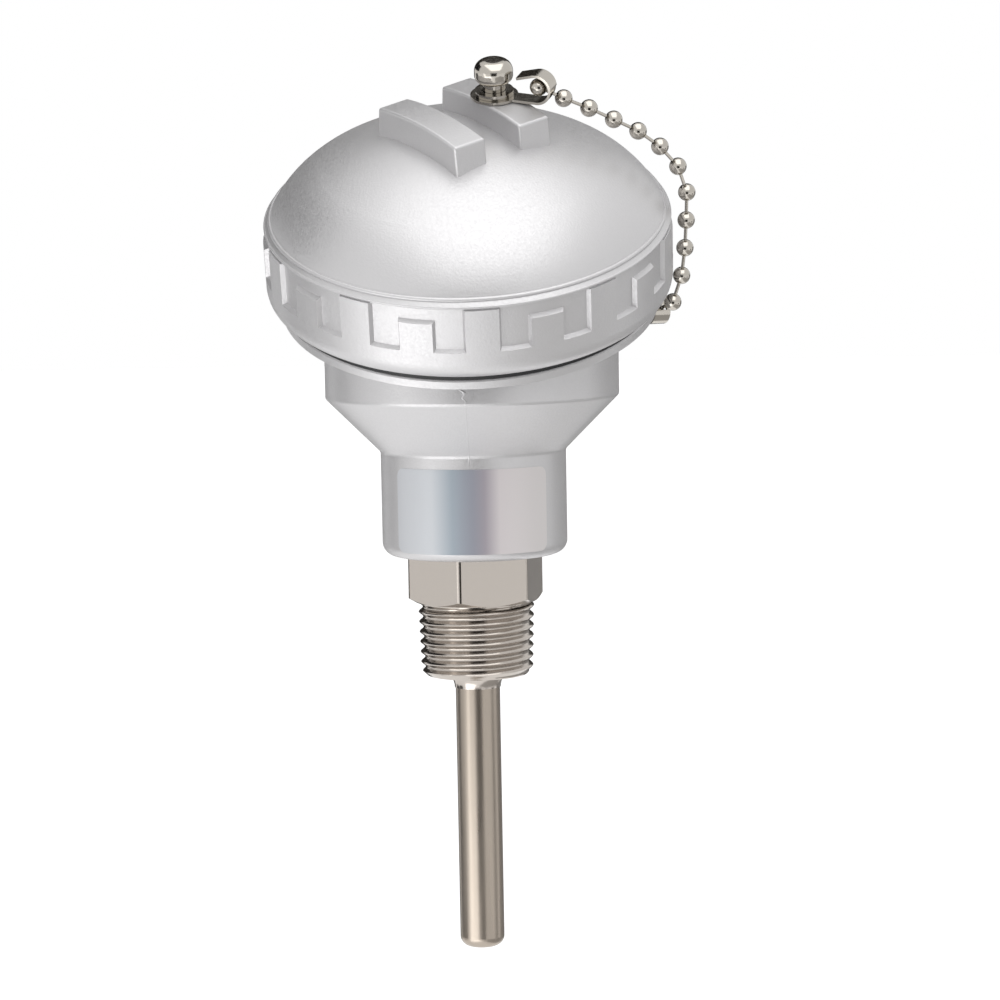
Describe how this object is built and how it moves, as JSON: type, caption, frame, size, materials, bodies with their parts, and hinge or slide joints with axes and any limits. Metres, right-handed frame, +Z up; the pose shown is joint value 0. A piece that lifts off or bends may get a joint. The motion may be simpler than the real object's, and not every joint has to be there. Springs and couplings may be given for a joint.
{
  "type": "rtd probe with head",
  "caption": "Resistance thermometer probe with a threaded process fitting and a cast connection head whose slanted screw cap hangs on a bead chain.",
  "frame": {"origin": "On the stem axis at the shoulder under the hexagon, where the process thread begins.", "axes": "+Z runs up the stem axis into the head, +Y points to the cable entry at the back, -Y is the low front side of the slanted cap, +X is the side with the chain."},
  "size_m": [0.0766, 0.0889, 0.1603],
  "materials": {
    "casting_paint": "satin silver paint on a cast surface",
    "black_rubber": "matt",
    "nickel_chain": "bright nickel plate",
    "nickel_hardware": "bright nickel plate",
    "nickel_fitting": "turned and polished",
    "stainless_stem": "drawn and brushed",
    "white_ceramic": "unglazed",
    "oxide_powder": "packed powder",
    "potting_resin": "cast resin",
    "red_insulation": "woven sleeve",
    "white_insulation": "woven sleeve",
    "brass_bar": "bright",
    "zinc_hardware": "zinc plate"
  },
  "bodies": {
    "head": {"head_body": "casting_paint", "hex_nipple": "nickel_fitting", "sheath": "stainless_stem", "filling": "oxide_powder", "potting": "potting_resin", "sensing_element": "white_ceramic", "lead_wire_1": "red_insulation", "lead_wire_2": "red_insulation", "lead_wire_3": "white_insulation", "terminal_block": "white_ceramic", "terminal_bar_1": "brass_bar", "terminal_bar_2": "brass_bar", "terminal_bar_3": "brass_bar", "terminal_screws": "zinc_hardware", "block_screws": "zinc_hardware", "gland_grommet": "black_rubber", "body_chain_clip": "nickel_hardware", "body_chain_screw": "nickel_hardware", "chain_ball_12": "nickel_chain", "chain_rod_11": "nickel_chain"},
    "gasket": {"cap_gasket": "black_rubber"},
    "cap": {"head_cap": "casting_paint", "cap_chain_screw": "nickel_hardware", "cap_chain_washer": "nickel_hardware"},
    "cap_clip": {"cap_chain_clip": "nickel_hardware"},
    "gland_ring": {"gland_washer": "zinc_hardware"},
    "gland_nut": {"gland_nut": "zinc_hardware"},
    "link_00": {"chain_ball_00": "nickel_chain", "chain_rod_00": "nickel_chain"},
    "link_01": {"chain_ball_01": "nickel_chain", "chain_rod_01": "nickel_chain"},
    "link_02": {"chain_ball_02": "nickel_chain", "chain_rod_02": "nickel_chain"},
    "link_03": {"chain_ball_03": "nickel_chain", "chain_rod_03": "nickel_chain"},
    "link_04": {"chain_ball_04": "nickel_chain", "chain_rod_04": "nickel_chain"},
    "link_05": {"chain_ball_05": "nickel_chain", "chain_rod_05": "nickel_chain"},
    "link_06": {"chain_ball_06": "nickel_chain", "chain_rod_06": "nickel_chain"},
    "link_07": {"chain_ball_07": "nickel_chain", "chain_rod_07": "nickel_chain"},
    "link_08": {"chain_ball_08": "nickel_chain", "chain_rod_08": "nickel_chain"},
    "link_09": {"chain_ball_09": "nickel_chain", "chain_rod_09": "nickel_chain"},
    "link_10": {"chain_ball_10": "nickel_chain", "chain_rod_10": "nickel_chain"},
    "link_11": {"chain_ball_11": "nickel_chain"}
  },
  "joints": [
    {"name": "cap_lift", "type": "slide", "parent": "head", "child": "gasket", "axis": [0, -0.4226, 0.9063], "range_m": [0, 0.008]},
    {"name": "cap_turn", "type": "hinge", "parent": "gasket", "child": "cap", "pos_m": [0, 0, 0.0561], "axis": [0, -0.4226, 0.9063], "range_deg": [0, 1440]},
    {"name": "clip_swivel", "type": "hinge", "parent": "cap", "child": "cap_clip", "pos_m": [0.00536, -0.01098, 0.08993], "axis": [0, -0.4226, 0.9063], "range_deg": [0, 40]},
    {"name": "chain_joint_00", "type": "hinge", "parent": "cap_clip", "child": "link_00", "pos_m": [0.01322, -0.01468, 0.09127], "axis": [0.2912, -0.9408, -0.1736], "range_deg": [0, 20]},
    {"name": "chain_joint_01", "type": "hinge", "parent": "link_00", "child": "link_01", "pos_m": [0.01629, -0.01347, 0.08983], "axis": [0.2912, -0.9408, -0.1736], "range_deg": [0, 20]},
    {"name": "chain_joint_02", "type": "hinge", "parent": "link_01", "child": "link_02", "pos_m": [0.02063, -0.01179, 0.08801], "axis": [0.2912, -0.9408, -0.1736], "range_deg": [0, 20]},
    {"name": "chain_joint_03", "type": "hinge", "parent": "link_02", "child": "link_03", "pos_m": [0.02492, -0.0101, 0.08608], "axis": [0.2912, -0.9408, -0.1736], "range_deg": [0, 20]},
    {"name": "chain_joint_04", "type": "hinge", "parent": "link_03", "child": "link_04", "pos_m": [0.02916, -0.00841, 0.08403], "axis": [0.2912, -0.9408, -0.1736], "range_deg": [0, 20]},
    {"name": "chain_joint_05", "type": "hinge", "parent": "link_04", "child": "link_05", "pos_m": [0.03309, -0.00672, 0.08147], "axis": [0.2912, -0.9408, -0.1736], "range_deg": [0, 20]},
    {"name": "chain_joint_06", "type": "hinge", "parent": "link_05", "child": "link_06", "pos_m": [0.03642, -0.00508, 0.07815], "axis": [0.2912, -0.9408, -0.1736], "range_deg": [0, 20]},
    {"name": "chain_joint_07", "type": "hinge", "parent": "link_06", "child": "link_07", "pos_m": [0.03839, -0.00368, 0.07387], "axis": [0.2912, -0.9408, -0.1736], "range_deg": [0, 20]},
    {"name": "chain_joint_08", "type": "hinge", "parent": "link_07", "child": "link_08", "pos_m": [0.03871, -0.00269, 0.06904], "axis": [0.2912, -0.9408, -0.1736], "range_deg": [0, 20]},
    {"name": "chain_joint_09", "type": "hinge", "parent": "link_08", "child": "link_09", "pos_m": [0.03847, -0.00186, 0.06412], "axis": [0.2912, -0.9408, -0.1736], "range_deg": [0, 20]},
    {"name": "chain_joint_10", "type": "hinge", "parent": "link_09", "child": "link_10", "pos_m": [0.03793, -0.00111, 0.0592], "axis": [0.2912, -0.9408, -0.1736], "range_deg": [0, 20]},
    {"name": "chain_joint_11", "type": "hinge", "parent": "link_10", "child": "link_11", "pos_m": [0.03659, -0.00065, 0.05443], "axis": [0.2912, -0.9408, -0.1736], "range_deg": [0, 20]},
    {"name": "gland_travel", "type": "slide", "parent": "head", "child": "gland_ring", "axis": [0, 1, 0], "range_m": [0, 0.0075]},
    {"name": "gland_turn", "type": "hinge", "parent": "gland_ring", "child": "gland_nut", "pos_m": [0, 0.03709, 0.049], "axis": [0, 1, 0], "range_deg": [0, 1800]}
  ],
  "couplings": [
    {"joint": "cap_lift", "follows": "cap_turn", "m_per_rad": 0.00031831},
    {"joint": "gland_travel", "follows": "gland_turn", "m_per_rad": 0.00023873}
  ]
}
